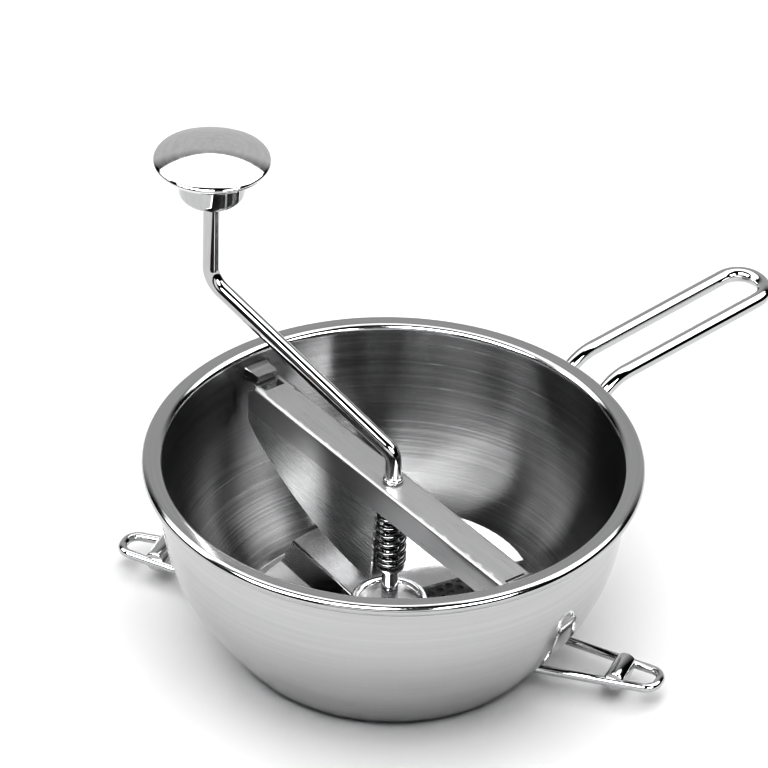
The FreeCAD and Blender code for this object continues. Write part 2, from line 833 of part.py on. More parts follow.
def main():
    os.makedirs("parts", exist_ok=True)
    block = bowl_block()
    save(make_bowl(), "bowl")
    save(make_handle(block), "handle_loop")
    for name, azimuth in (("left", loop_azimuth), ("right", loop_azimuth - 180)):
        loop = make_loop(block, azimuth)
        save(loop, "rest_loop_" + name)
        save(make_loop_stop(loop, azimuth), "rest_stop_" + name)
    save(make_sieve(), "sieve_disc")
    save(make_sieve_bush(), "sieve_bush")
    save(make_crank_rod(), "crank_rod")
    save(make_stop_ring(), "crank_stop_ring")
    save(make_rotor(), "rotor_blade")
    save(make_rotor_collar(), "rotor_collar")
    save(make_bridge(), "bridge")
    save(make_bridge_bush(), "bridge_bush")
    save(make_upper_washer(), "spring_upper_washer")
    save(make_spring(), "pressure_spring")
    save(make_lower_washer(), "spring_lower_washer")
    save(make_spring_ring(), "spring_retaining_ring")
    save(make_knob_cap(), "knob_cap")
    save(make_knob_skirt(), "knob_skirt")
    save(make_knob_bush(), "knob_bush")
    save(make_knob_ring(), "knob_retaining_ring")


main()
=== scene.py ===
# %% [markdown]
# A hand-cranked food mill in stainless steel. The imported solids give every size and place. Polished steel
# shows each flat facet of a solid as a broken reflection, so the curved pieces are made again here as
# smooth surfaces worked out with numpy. Small turned pieces keep their solids and only get a finish.

# %% Load the solids
import math

import bmesh
import bpy
import numpy as np
from mathutils import Matrix


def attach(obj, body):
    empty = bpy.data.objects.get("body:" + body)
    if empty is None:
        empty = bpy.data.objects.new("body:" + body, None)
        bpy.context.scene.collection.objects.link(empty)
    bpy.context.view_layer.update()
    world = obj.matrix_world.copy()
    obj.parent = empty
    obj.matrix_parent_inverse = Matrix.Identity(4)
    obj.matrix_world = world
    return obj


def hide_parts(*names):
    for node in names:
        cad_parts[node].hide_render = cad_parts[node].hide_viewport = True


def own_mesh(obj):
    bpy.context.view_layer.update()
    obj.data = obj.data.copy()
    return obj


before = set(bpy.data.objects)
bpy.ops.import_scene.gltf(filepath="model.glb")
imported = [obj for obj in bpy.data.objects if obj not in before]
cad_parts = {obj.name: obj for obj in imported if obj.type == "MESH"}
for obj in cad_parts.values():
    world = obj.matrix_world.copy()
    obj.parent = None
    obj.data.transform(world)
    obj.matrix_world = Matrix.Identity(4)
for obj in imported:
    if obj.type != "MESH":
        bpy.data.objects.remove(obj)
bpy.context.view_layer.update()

MM = 0.001
TINY = 1e-6
print("solids", len(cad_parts))

# %% [markdown]
# Sheet, rod and turned work all start from a line of straight runs with rounded corners. Such a line could
# be a curve object, but as an array it can be turned, swept or measured at once.


# %% Lines with rounded corners
def unit(vectors):
    """Each vector divided by its own length."""
    return vectors / np.linalg.norm(vectors, axis=-1, keepdims=True)


def rounded(corners, radii, step=4.0):
    """A line through the corners, each inner one replaced by a tangent arc.

    With half the turn h at a corner of radius r, the centre lies r / cos h from the corner along the
    bisector, and the arc's points are centre + r (cos a e1 + sin a e2) for a from 0 to 2 h. The step between
    them is in degrees, one for all corners or one for each.
    """
    corners = np.asarray(corners, float)
    steps = np.broadcast_to(step, len(radii))
    runs = [corners[:1]]
    for before, corner, after, radius, degrees in zip(corners, corners[1:], corners[2:], radii, steps):
        back = unit(before - corner)
        ahead = unit(after - corner)
        half = (np.pi - np.arccos(np.clip(back @ ahead, -1, 1))) / 2
        centre = corner + unit(back + ahead) * radius / np.cos(half)
        outward = unit(corner + back * radius * np.tan(half) - centre)
        count = max(3, math.ceil(np.degrees(2 * half) / degrees) + 1)
        angle = np.linspace(0, 2 * half, count)[:, None]
        runs.append(centre + radius * (np.cos(angle) * outward - np.sin(angle) * back))
    runs.append(corners[-1:])
    line = np.vstack(runs)
    return line[np.r_[True, np.linalg.norm(np.diff(line, axis=0), axis=1) > TINY]]


def spaced(line, longest):
    """The same line with each step cut into equal parts no longer than its limit."""
    steps = np.linalg.norm(np.diff(line, axis=0), axis=1)
    counts = np.maximum(1, np.ceil(steps / longest)).astype(int)
    places = np.interp(np.arange(counts.sum() + 1), np.r_[0, np.cumsum(counts)], np.arange(len(line)))
    return np.stack([np.interp(places, np.arange(len(line)), axis) for axis in line.T], axis=1)


def along(line):
    """Distance from the line's start to each of its points."""
    return np.r_[0, np.cumsum(np.linalg.norm(np.diff(line, axis=0), axis=1))]


# %% [markdown]
# A surface is a grid of points. Turned work is a half section carried round an axis, and bent rod is a
# circle carried along a line. Each grid also keeps grain coordinates, so a brushed finish can follow the
# tool marks.


# %% Grids of points
def patch(points, grain, wrap_columns=False, keep=None, finish=0):
    """One grid of a piece: points, quads between neighbours, grain and the number of its finish.

    Row i and column j of c columns is point i c + j, and a wrapped grid joins its last column to its first.
    """
    rows, columns = points.shape[:2]
    i = np.arange(rows - 1)[:, None]
    j = np.arange(columns if wrap_columns else columns - 1)
    here = i * columns
    below = here + columns
    right = (j + 1) % columns
    quads = np.stack([here + j, here + right, below + right, below + j], axis=-1)
    quads = quads.reshape(-1, 4) if keep is None else quads[keep]
    grain = np.broadcast_to(grain, points.shape).reshape(-1, 3)
    return {"points": points.reshape(-1, 3), "quads": quads, "grain": grain, "finish": finish}


def circle(count):
    """Equal angles round a full turn, the last one short of the first."""
    return np.arange(count) * 2 * np.pi / count


def lathe(section, angles=circle(128), centre=(0, 0), **more):
    """Turned work: section point (r, z) at angle a is (r cos a, r sin a, z), with grain (cos a, sin a, s)."""
    radius, height = section[:, :1], section[:, 1:]
    x = radius * np.cos(angles) + centre[0]
    y = radius * np.sin(angles) + centre[1]
    points = np.stack(np.broadcast_arrays(x, y, height), axis=-1)
    distance = along(section)[:, None]
    grain = np.stack(np.broadcast_arrays(np.cos(angles), np.sin(angles), distance), axis=-1)
    return patch(points, grain, wrap_columns=True, **more)


def tube(line, radius, reference, sides=40, seat=None):
    """Round bar: line point + r (cos a side + sin a up), both square to the line, closed at its ends."""
    heading = unit(np.gradient(line, axis=0))
    side = unit(np.cross(heading, reference))
    up = np.cross(side, heading)
    angles = circle(sides)
    ring = np.cos(angles)[:, None] * side[:, None] + np.sin(angles)[:, None] * up[:, None]
    points = line[:, None] + radius * ring
    if seat is not None:
        points[0] = seat(points[0], heading[0])
        points[-1] = seat(points[-1], heading[-1])
    ends = points[[0, -1]].mean(axis=1, keepdims=True) * np.ones((1, sides, 1))
    points = np.concatenate([ends[:1], points, ends[1:]])
    distance = np.r_[0, along(line), along(line)[-1]][:, None]
    grain = np.stack(np.broadcast_arrays(np.cos(angles), np.sin(angles), distance), axis=-1)
    return patch(points, grain, wrap_columns=True)


def turned(points, degrees):
    """Points turned about the bowl's axis."""
    a = math.radians(degrees)
    turn = np.array([[math.cos(a), math.sin(a), 0], [-math.sin(a), math.cos(a), 0], [0, 0, 1]])
    return points @ turn


# %% [markdown]
# Every new piece goes through one function, which joins its grids into a mesh, closes seams and poles by
# merging equal points, turns the faces outwards and fastens the piece to the body that its solid belongs
# to.


# %% From grids to pieces
MERGE = 1e-7
BORDER_ANGLE = 50.0


def make_piece(name, patches, finishes, body, node=None, sheet=0.0, edge=0.0, sharp=32.0):
    """A mesh from grids in millimetres, with its finishes. Sheet adds thickness, edge a rounded border."""
    starts = np.cumsum([0] + [len(p["points"]) for p in patches])
    points = np.concatenate([p["points"] for p in patches]) * MM
    quads = np.concatenate([p["quads"] + start for p, start in zip(patches, starts)])
    mesh = bpy.data.meshes.new(name)
    mesh.from_pydata(points.tolist(), [], quads.tolist())
    grain = mesh.attributes.new("grain", "FLOAT_VECTOR", "POINT")
    grain.data.foreach_set("vector", np.concatenate([p["grain"] for p in patches]).astype(np.float32).ravel())
    numbers = np.concatenate([np.full(len(p["quads"]), p["finish"]) for p in patches])
    mesh.polygons.foreach_set("material_index", numbers)
    cleaner = bmesh.new()
    cleaner.from_mesh(mesh)
    bmesh.ops.remove_doubles(cleaner, verts=cleaner.verts, dist=MERGE)
    bmesh.ops.dissolve_degenerate(cleaner, dist=MERGE / 10, edges=cleaner.edges)
    bmesh.ops.recalc_face_normals(cleaner, faces=cleaner.faces)
    cleaner.to_mesh(mesh)
    cleaner.free()
    mesh.polygons.foreach_set("use_smooth", np.ones(len(mesh.polygons), bool))
    mesh.set_sharp_from_angle(angle=math.radians(sharp))
    for finish in finishes:
        mesh.materials.append(finish)
    made = bpy.data.objects.new(name, mesh)
    bpy.context.scene.collection.objects.link(made)
    if sheet:
        thickness = made.modifiers.new("sheet", "SOLIDIFY")
        thickness.thickness = sheet * MM
        thickness.offset = 0
    if edge:
        border = made.modifiers.new("edge", "BEVEL")
        border.width = edge * MM
        border.segments = 2
        border.limit_method = "ANGLE"
        border.angle_limit = math.radians(BORDER_ANGLE)
        border.harden_normals = True
    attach(made, body)
    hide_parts(node or name)
    print(name, "faces", len(mesh.polygons))
    return made


# %% [markdown]
# All of the mill is stainless steel, and what tells its pieces apart is the polish, save the dark tones of
# the bowl's food side and the spring, which are painted shade. A finish is one metal shader whose tone,
# roughness and relief come from noise stretched along the grain. An image of scratches would repeat and
# need a map, while stretched noise has no seam.


# %% Steel finishes
NOISE_RANGE = (0.3, 0.7)
STREAK_DETAIL = 5.0
STREAK_ROUGHNESS = 0.65
CLOUD_SCALE = 38.0
STEEL_BLUE = 1.005
QUARTER_TURN = 0.25
RELIEF_DEPTH = 0.0002


def steel(name, tone, roughness, scale, relief=0.0, anisotropy=0.0, on_grain=True, smudge=0.06):
    """A steel whose streaks are noise on grain or object coordinates, scaled to run long one way.

    Tone and roughness each go from their first to their second value as the noise n goes from 0.3 to 0.7, and
    the roughness gains smudge times a slower noise.
    """
    finish = bpy.data.materials.new(name)
    finish.use_nodes = True
    nodes, links = finish.node_tree.nodes, finish.node_tree.links
    shader = nodes["Principled BSDF"]
    shader.inputs["Metallic"].default_value = 1.0
    shader.inputs["Anisotropic"].default_value = anisotropy
    place = nodes.new("ShaderNodeTexCoord")
    source = place.outputs["Object"]
    if on_grain:
        attribute = nodes.new("ShaderNodeAttribute")
        attribute.attribute_name = "grain"
        source = attribute.outputs["Vector"]
    mapping = nodes.new("ShaderNodeMapping")
    mapping.inputs["Scale"].default_value = scale
    links.new(source, mapping.inputs["Vector"])
    streaks = nodes.new("ShaderNodeTexNoise")
    streaks.inputs["Scale"].default_value = 1.0
    streaks.inputs["Detail"].default_value = STREAK_DETAIL
    streaks.inputs["Roughness"].default_value = STREAK_ROUGHNESS
    links.new(mapping.outputs["Vector"], streaks.inputs["Vector"])
    clouds = nodes.new("ShaderNodeTexNoise")
    clouds.inputs["Scale"].default_value = CLOUD_SCALE
    clouds.inputs["Detail"].default_value = 2.0
    links.new(place.outputs["Object"], clouds.inputs["Vector"])
    ramp = nodes.new("ShaderNodeValToRGB")
    for element, position, grey in zip(ramp.color_ramp.elements, NOISE_RANGE, tone):
        element.position = position
        element.color = (grey, grey, grey * STEEL_BLUE, 1)
    links.new(streaks.outputs["Fac"], ramp.inputs["Fac"])
    links.new(ramp.outputs["Color"], shader.inputs["Base Color"])
    spread = nodes.new("ShaderNodeMapRange")
    for socket, value in zip(("From Min", "From Max", "To Min", "To Max"), NOISE_RANGE + roughness):
        spread.inputs[socket].default_value = value
    links.new(streaks.outputs["Fac"], spread.inputs["Value"])
    handled = nodes.new("ShaderNodeMath")
    handled.operation = "MULTIPLY_ADD"
    handled.inputs[1].default_value = smudge
    links.new(clouds.outputs["Fac"], handled.inputs[0])
    links.new(spread.outputs["Result"], handled.inputs[2])
    links.new(handled.outputs["Value"], shader.inputs["Roughness"])
    if anisotropy:
        shader.inputs["Anisotropic Rotation"].default_value = QUARTER_TURN
        tangent = nodes.new("ShaderNodeTangent")
        tangent.direction_type = "RADIAL"
        tangent.axis = "Z"
        links.new(tangent.outputs["Tangent"], shader.inputs["Tangent"])
    if relief:
        bump = nodes.new("ShaderNodeBump")
        bump.inputs["Strength"].default_value = relief
        bump.inputs["Distance"].default_value = RELIEF_DEPTH
        links.new(streaks.outputs["Fac"], bump.inputs["Height"])
        links.new(bump.outputs["Normal"], shader.inputs["Normal"])
    return finish


# The food side's brushing is real, and its dark tone is painted shade inside the bowl.
brushed_bowl = steel("brushed_bowl", (0.15, 0.22), (0.19, 0.24), (0.35, 0.35, 0.9), 0.01, 1.0)
polished_bowl = steel("polished_bowl", (0.46, 0.51), (0.06, 0.10), (0.8, 0.8, 0.5))
polished_rod = steel("polished_rod", (0.50, 0.56), (0.02, 0.06), (9, 9, 0.08), smudge=0.03)
drawn_steel = steel("drawn_steel", (0.44, 0.51), (0.03, 0.07), (9, 9, 0.08), smudge=0.03)
satin_sheet = steel("satin_sheet", (0.43, 0.51), (0.24, 0.34), (0.05, 3.0, 3.0), 0.06)
baffle_sheet = steel("baffle_sheet", (0.52, 0.62), (0.20, 0.30), (0.04, 2.5, 2.5), 0.06)
polished_sheet = steel("polished_sheet", (0.66, 0.74), (0.03, 0.08), (2.0, 2.0, 0.4), smudge=0.04)
sieve_steel = steel("sieve_steel", (0.40, 0.52), (0.26, 0.36), (60, 900, 60), 0.05, on_grain=False)
turned_steel = steel("turned_steel", (0.38, 0.50), (0.22, 0.34), (700, 700, 700), 0.15, on_grain=False)
# The spring's dark tone is painted shade inside the bowl under the bridge.
spring_steel_painted_shade = steel("spring_steel_painted_shade", (0.10, 0.17), (0.12, 0.22), (3, 3, 0.2), smudge=0.05)
hub_steel = steel("hub_steel", (0.30, 0.55), (0.25, 0.45), (2.0, 2.0, 5.0), 0.5)
print("finishes", len(bpy.data.materials))

# %% [markdown]
# The bowl is one sheet: a seat for the sieve, a cone, a round belly, an upright wall and a rim rolled
# outwards. It could be a curve with a screw modifier, but a section held as an array also tells where the
# rods meet the bowl. Only the food side is brushed and darkened with painted shade, so its points are kept
# apart.

# %% Half section of the bowl
rim_radius = 120.0
rim_height = 102.0
curl_radius = 3.0
curl_return = 3.5
bowl_sheet = 1.0
wall_radius = 110.0
belly_radius = 94.4
cone_angle = 36.7
cone_foot_radius = 75.5
seat_height = 3.0
seat_inner_radius = 67.0
seat_bend = 1.5
belly_step = 2.5
bend_step = 5.0
upright_step = 0.5
cone_step = 5.0


def bowl_section(inset):
    """Food side of the sheet as (r, z), or its other side when inset by the sheet's thickness."""
    slope = math.tan(math.radians(cone_angle))
    belly_corner = seat_height + (wall_radius - cone_foot_radius) / slope
    belly_drop = inset * math.tan(math.radians(cone_angle / 2))
    shift = inset / math.cos(math.radians(cone_angle)) - inset * slope
    curl_bottom = rim_height - 2 * curl_radius + inset
    corners = [
        (seat_inner_radius + inset, 0),
        (seat_inner_radius + inset, seat_height - inset),
        (cone_foot_radius + shift, seat_height - inset),
        (wall_radius + inset, belly_corner - belly_drop),
        (wall_radius + inset, rim_height - inset),
        (rim_radius - inset, rim_height - inset),
        (rim_radius - inset, curl_bottom),
        (rim_radius - curl_radius - curl_return, curl_bottom),
    ]
    curl = curl_radius - inset
    radii = [seat_bend - inset, seat_bend + inset, belly_radius + inset, curl, curl, curl]
    steps = [bend_step, bend_step, belly_step, bend_step, bend_step, bend_step]
    line = rounded(corners, radii, steps)
    upright = (np.abs(np.diff(line[:, 0])) < TINY) & (line[1:, 1] > belly_corner)
    return spaced(line, np.where(upright, upright_step, cone_step))


food_side = bowl_section(0.0)
back_side = bowl_section(bowl_sheet)
wall_top = int(np.argmax(food_side[:, 1] > rim_height - curl_radius - TINY))
print("bowl section points", len(food_side) + len(back_side))

# %% [markdown]
# Two catches are pressed into the wall under the rim, and the bridge hooks under them. They could be cut
# and welded in, but on a grid it is enough to move the wall's points inwards where a soft-edged box says
# so.

# %% The bowl
bridge_azimuth = 86.0
bridge_top = 88.7
catch_bottom = bridge_top + 0.3
catch_height = 4.5
catch_width = 13.0
catch_depth = 9.0
catch_edge = 1.0
catch_span = 5.0
bowl_step = 1.5


def soft_box(distance, half):
    """One inside the half width, nought outside, with an eased slope as wide as the catch's edge."""
    t = np.clip((half - np.abs(distance)) / catch_edge + 0.5, 0, 1)
    return t * t * (3 - 2 * t)


def press_catches(grid, inset):
    """Move points towards the axis by depth times two soft boxes, one across the catch and one up it."""
    points = grid["points"]
    radius = np.hypot(points[:, 0], points[:, 1])
    middle = catch_bottom + catch_height / 2
    up = soft_box(points[:, 2] - middle, catch_height / 2 - inset) * (radius < rim_radius - 2 * curl_radius)
    for azimuth in (bridge_azimuth, bridge_azimuth + 180):
        local = turned(points, -azimuth)
        across = soft_box(local[:, 1], catch_width / 2 - inset) * (local[:, 0] > 0)
        shift = catch_depth * up * across
        points = points * np.stack([1 - shift / radius, 1 - shift / radius, np.ones_like(radius)], axis=1)
    grid["points"] = points
    return grid


def bowl_angles():
    """Even angles round the bowl, with close ones added at both catches."""
    near = bridge_azimuth + np.linspace(-catch_span, catch_span, 41)
    return np.radians(np.unique(np.r_[np.arange(0, 360, bowl_step), near, near + 180]))


inside = press_catches(lathe(food_side[:wall_top + 1], bowl_angles()), 0.0)
outline = np.vstack([food_side[wall_top:], back_side[::-1], food_side[:1]])
outside = press_catches(lathe(outline, bowl_angles(), finish=1), bowl_sheet)
make_piece("bowl_surface", [inside, outside], [brushed_bowl, polished_bowl], "bowl_body",
           "bowl")

# %% [markdown]
# Handle and rest loops are bent rod welded to the bowl. A rod is a circle carried along its line, and the
# end circles slide along the rod until they lie on the bowl, which gives the fish-mouth cut of a welded
# joint.

# %% Handle and rest loops
weld_sink = 0.3
newton_step = 0.01
cone_start = int(np.argmax(back_side[:, 0] > cone_foot_radius + 1))
cone_stop = int(np.argmax(back_side[:, 1] > rim_height - 4))
cone_rows = slice(cone_start, cone_stop)


def bowl_outside(height):
    """Radius of the bowl's outside at a height, between the cone's foot and the curl."""
    return np.interp(height, back_side[cone_rows, 1], back_side[cone_rows, 0])


def seat_on_bowl(points, heading):
    """Slide points along a direction by Newton steps until they lie just inside the bowl's outside."""
    def gap(p):
        return np.hypot(p[:, 0], p[:, 1]) - bowl_outside(p[:, 2]) + weld_sink

    for _ in range(8):
        gain = (gap(points + heading * newton_step) - gap(points)) / newton_step
        points = points - heading * (gap(points) / gain)[:, None]
    return points


handle_rod = 7.5
handle_side = 12.5
handle_end = 240.0 - handle_rod / 2
handle_rise = math.tan(math.radians(3.0))
handle_bend = (127.0, 97.3)
handle_foot = (108.5, 71.5)
leg_bend = 25.0
end_bend = 12.0
end_height = handle_bend[1] + (handle_end - handle_bend[0]) * handle_rise
one_leg = np.array([
    (handle_foot[0], handle_side, handle_foot[1]),
    (handle_bend[0], handle_side, handle_bend[1]),
    (handle_end, handle_side, end_height),
])
handle_line = rounded(np.vstack([one_leg, one_leg[::-1] * (1, -1, 1)]),
                      [leg_bend, end_bend, end_bend, leg_bend])
handle = tube(spaced(handle_line, 8.0), handle_rod / 2, (-handle_rise, 0, 1), seat=seat_on_bowl)
make_piece("handle_surface", [handle], [polished_rod], "bowl_body", "handle_loop")

loop_wire = 4.4
loop_height = 11.0
loop_tip = 141.0 - loop_wire / 2
loop_root = 78.0
loop_half_tip = 7.0
loop_spread = math.tan(math.radians(6.7))
stop_reach = 119.0
stop_radius = 5.25
stop_edge = 1.2
loop_bend = 6.7
loop_azimuth = 117.0


def loop_half_width(reach):
    """Half the spacing of the loop's wires, growing evenly from its tip to the bowl."""
    return loop_half_tip + (loop_tip - reach) * loop_spread


loop_leg = np.array([
    (loop_root, loop_half_width(loop_root), loop_height),
    (loop_tip, loop_half_tip, loop_height),
])
loop_line = spaced(rounded(np.vstack([loop_leg, loop_leg[::-1] * (1, -1, 1)]), [loop_bend, loop_bend]), 6.0)
stop_half = loop_half_width(stop_reach)
stop_section = rounded(
    [(0, -stop_half), (stop_radius, -stop_half), (stop_radius, stop_half), (0, stop_half)],
    [stop_edge, stop_edge], 15)
for side, azimuth in (("left", loop_azimuth), ("right", loop_azimuth - 180)):
    wire = tube(turned(loop_line, azimuth), loop_wire / 2, (0, 0, 1), seat=seat_on_bowl)
    make_piece("rest_loop_" + side + "_surface", [wire], [polished_rod], "bowl_body",
               "rest_loop_" + side)
    stop = lathe(stop_section, circle(64))
    lying = stop["points"][:, [0, 2, 1]] + (stop_reach, 0, loop_height)
    stop["points"] = turned(lying, azimuth)
    make_piece("rest_stop_" + side + "_surface", [stop], [polished_rod], "bowl_body",
               "rest_stop_" + side)

# %% [markdown]
# The crank is one rod: shaft, sloping arm and knob spindle, with a thinner pilot that turns in the sieve. A
# bead sits in a groove of the shaft and stops the bridge.

# %% Crank rod and its bead
rod_radius = 4.0
pilot_radius = 3.0
pilot_bottom = 0.8
shaft_bottom = 6.2
crank_corner = 104.8
crank_rise = 61.8
crank_reach = 103.6
crank_azimuth = 108.0
spindle_top = 228.1
shaft_bend = 10.0
spindle_bend = 14.0
crank_line = rounded(
    [(0, 0, shaft_bottom), (0, 0, crank_corner), (crank_reach, 0, crank_corner + crank_rise),
     (crank_reach, 0, spindle_top)], [shaft_bend, spindle_bend], 3)
crank = tube(turned(spaced(crank_line, 8.0), crank_azimuth), rod_radius,
             turned(np.array([0.0, 1.0, 0.0]), crank_azimuth), 48)
pilot_line = np.array([(0, 0, pilot_bottom), (0, 0, 3.0), (0, 0, shaft_bottom)], float)
pilot = tube(pilot_line, pilot_radius, (0, 1, 0))
make_piece("crank_surface", [crank, pilot], [drawn_steel], "crank_body", "crank_rod")

groove_radius = 3.6
bead_radius = 4.9
bead_bottom = 89.0
bead_top = 91.4
bead_section = rounded(
    [(groove_radius, bead_bottom), (bead_radius, bead_bottom), (bead_radius, bead_top),
     (groove_radius, bead_top), (groove_radius, bead_bottom)], [1.15, 1.15, 0.1], 10)
make_piece("stop_bead_surface", [lathe(bead_section, circle(64))], [drawn_steel], "crank_body",
           "crank_stop_ring")

# %% [markdown]
# The blade is bent from sheet: each wing is a pitched sector, a strip bent down behind it and a flat foot
# on the sieve. Height depends only on the distance along the wing's own x axis, so the wing is a height
# line with rounded bends, read over a plan of straight rulings from an inner to an outer point.

# %% Pressing blade
blade_radius = 70.0
blade_sheet = 1.5
blade_azimuth = -7.2
hub_bottom = 13.6
foot_bottom = 4.4
pitch = math.radians(7.5)
bend_offset = 10.0
strip_run = 7.0
strip_start = 24.0
foot_end = 155.0
hub_ring = (14.5, 19.0)
hub_middle = sum(hub_ring) / 2
sector_middle = hub_bottom + blade_sheet / 2 / math.cos(pitch)
foot_middle = foot_bottom + blade_sheet / 2
line_reach = 80.0
fold_radius = 2.2
sector_start = (4.0, -11.6)
height_line = rounded(
    [(-line_reach, sector_middle + line_reach * math.tan(pitch)),
     (bend_offset, sector_middle - bend_offset * math.tan(pitch)),
     (bend_offset + strip_run, foot_middle), (line_reach, foot_middle)], [fold_radius, fold_radius], 8)


def polar(radius, degrees):
    """Plan points at a radius and angles."""
    a = np.radians(degrees)
    return np.stack([radius * np.cos(a), radius * np.sin(a)], axis=-1)


def wing_rulings():
    """Inner and outer plan points of each ruling: across the sector, down the strip and round the foot."""
    share = 1 - (1 - np.linspace(0, 1, 44)) ** 1.6
    inner_end = math.degrees(math.acos(-bend_offset / hub_middle))
    outer_end = math.degrees(math.acos(-bend_offset / blade_radius))
    sector_inner = polar(hub_middle, sector_start[0] + (inner_end - sector_start[0]) * share)
    sector_outer = polar(blade_radius, sector_start[1] + (outer_end - sector_start[1]) * share)
    reach = height_line[:, 0]
    bend = reach[(reach > bend_offset - 0.01) & (reach < bend_offset + strip_run + 3)]
    strip_x = -np.unique(np.r_[bend_offset + 0.05, bend])
    strip_inner = np.stack([strip_x, np.full_like(strip_x, strip_start)], axis=-1)
    strip_outer = np.stack([strip_x, np.sqrt(blade_radius ** 2 - strip_x ** 2)], axis=-1)
    first = math.degrees(math.atan2(strip_outer[-1, 1], strip_outer[-1, 0]))
    fan = np.linspace(first, foot_end, 16)[1:]
    foot_inner = np.repeat(strip_inner[-1:], len(fan), axis=0)
    foot_outer = polar(blade_radius, fan)
    inner = np.vstack([sector_inner, strip_inner, foot_inner])
    outer = np.vstack([sector_outer, strip_outer, foot_outer])
    return inner, outer


def wing(azimuth):
    """One wing: points inner + v (outer - inner), at the height line's height over their own x."""
    inner, outer = wing_rulings()
    v = np.linspace(0, 1, 20)[:, None]
    plan = inner[:, None] + (outer - inner)[:, None] * v
    height = np.interp(-plan[..., 0], height_line[:, 0], height_line[:, 1])
    points = np.concatenate([plan, height[..., None]], axis=-1)
    return patch(turned(points, azimuth), points * (1, 0.1, 1))


ring_rise = 4.3
ring_inner, ring_outer = hub_ring
ring_top = hub_bottom + blade_sheet + ring_rise
ring_bottom = hub_bottom - ring_outer * math.tan(pitch)
ring_round = (ring_outer - ring_inner) / 2 * 0.99
ring_section = rounded(
    [(ring_inner, ring_bottom), (ring_outer, ring_bottom), (ring_outer, ring_top), (ring_inner, ring_top),
     (ring_inner, ring_bottom)], [0.3, ring_round, ring_round], 10)
plate_section = np.array([
    (rod_radius, hub_bottom), (hub_middle, hub_bottom), (hub_middle, hub_bottom + blade_sheet),
    (rod_radius, hub_bottom + blade_sheet), (rod_radius, hub_bottom)])
hub_patches = [lathe(ring_section), lathe(spaced(plate_section, 1.0), finish=1)]
wing_patches = [wing(blade_azimuth), wing(blade_azimuth + 180)]
make_piece("blade_wings_surface", wing_patches, [polished_sheet], "crank_body",
           "rotor_blade", sheet=blade_sheet, edge=0.3)
make_piece("blade_hub_surface", hub_patches, [polished_sheet, hub_steel], "crank_body",
           "rotor_blade")

# %% [markdown]
# The bridge is a sheet channel across the bowl. Its cross section with two rounded bends is carried along
# its length; each point of the section has its own end, which cuts the sloping flange ends and leaves a
# hook bar. Faces inside the windows are left out, and a baffle hangs from half of one flange.

# %% Bridge and baffle
bridge_sheet = 1.2
bridge_bend = 1.4
bridge_half = 9.0 - bridge_sheet / 2
bridge_middle = bridge_top - bridge_sheet / 2
flange_bottom = bridge_top - 15.0
window_start = 94.5
window_end = 99.6
window_half = 5.5
hook_end = 102.2
hook_half = 7.5
flange_reach = 104.0
flange_end = bridge_top - 4.3
section_line = rounded(
    [(-bridge_half, flange_bottom), (-bridge_half, bridge_middle), (bridge_half, bridge_middle),
     (bridge_half, flange_bottom)], [bridge_bend, bridge_bend], 12)
flange_levels = np.array([flange_bottom, 77.0, 80.5, flange_end])
hook_edge = hook_half + 0.05
top_places = np.array([-hook_edge, -hook_half, -window_half, -2.0, 2.0, window_half, hook_half, hook_edge])
bend_points = section_line[section_line[:, 1] > bridge_middle - bridge_bend - 0.1]
left_bend = bend_points[bend_points[:, 0] < 0]
left_side = np.stack([np.full_like(flange_levels, -bridge_half), flange_levels], axis=1)
top_line = np.stack([top_places, np.full_like(top_places, bridge_middle)], axis=1)
left_half = np.vstack([left_side, left_bend])
bridge_section = np.vstack([left_half, top_line, left_half[::-1] * (-1, 1)])
section_y, section_z = bridge_section.T
flat_top = section_z > bridge_middle - 0.1
point_end = np.interp(-section_z, [-bridge_top + bridge_sheet, -flange_end], [window_end, flange_reach])
point_end = np.where((np.abs(section_y) <= hook_half) & flat_top, hook_end, point_end)
baffle_top = (1.6, flange_bottom)
baffle_tip = (4.4, bridge_top - 57.4)
baffle_corner = (98.5, bridge_top - 26.6)
baffle_wall = (flange_reach, bridge_top - 21.0)
baffle_radius = 173.0
slanting_rows = np.linspace(baffle_top[0], baffle_tip[0], 9)
middle_rows = np.unique(np.r_[np.linspace(-window_start, window_start, 64), slanting_rows])
end_share = np.array([0.25, 0.45, (window_end - window_start) / (hook_end - window_start), 0.85, 1.0])
end_rows = window_start + end_share[:, None] * (point_end - window_start)
bridge_x = np.vstack([-end_rows[::-1], middle_rows[:, None] * np.ones(len(point_end)), end_rows])
bridge_points = np.stack(np.broadcast_arrays(bridge_x, section_y, section_z), axis=-1)
quad_y = (section_y[1:] + section_y[:-1]) / 2
in_window = np.zeros((len(bridge_x) - 1, len(section_y) - 1), bool)
window_rows = np.r_[2:5, len(bridge_x) - 6:len(bridge_x) - 3]
on_top = (np.abs(quad_y) < window_half) & flat_top[1:]
in_window[np.ix_(window_rows, on_top)] = True
channel = patch(turned(bridge_points, bridge_azimuth), bridge_points, keep=~in_window)

chord = np.subtract(baffle_corner, baffle_tip)
half_chord = np.linalg.norm(chord) / 2
to_centre = math.sqrt(baffle_radius ** 2 - half_chord ** 2)
chord_middle = np.add(baffle_corner, baffle_tip) / 2
arc_centre = chord_middle + to_centre * np.array([-chord[1], chord[0]]) / (2 * half_chord)


def baffle_edge(x):
    """Lower edge of the baffle: a slanting side, the arc z = c - sqrt(R^2 - (x - a)^2), the wall's slope."""
    arc = arc_centre[1] - np.sqrt(np.maximum(baffle_radius ** 2 - (x - arc_centre[0]) ** 2, 0))
    side = np.interp(x, *zip(baffle_top, baffle_tip))
    wall = np.interp(x, *zip(baffle_corner, baffle_wall))
    return np.where(x < baffle_tip[0], side, np.where(x < baffle_corner[0], arc, wall))


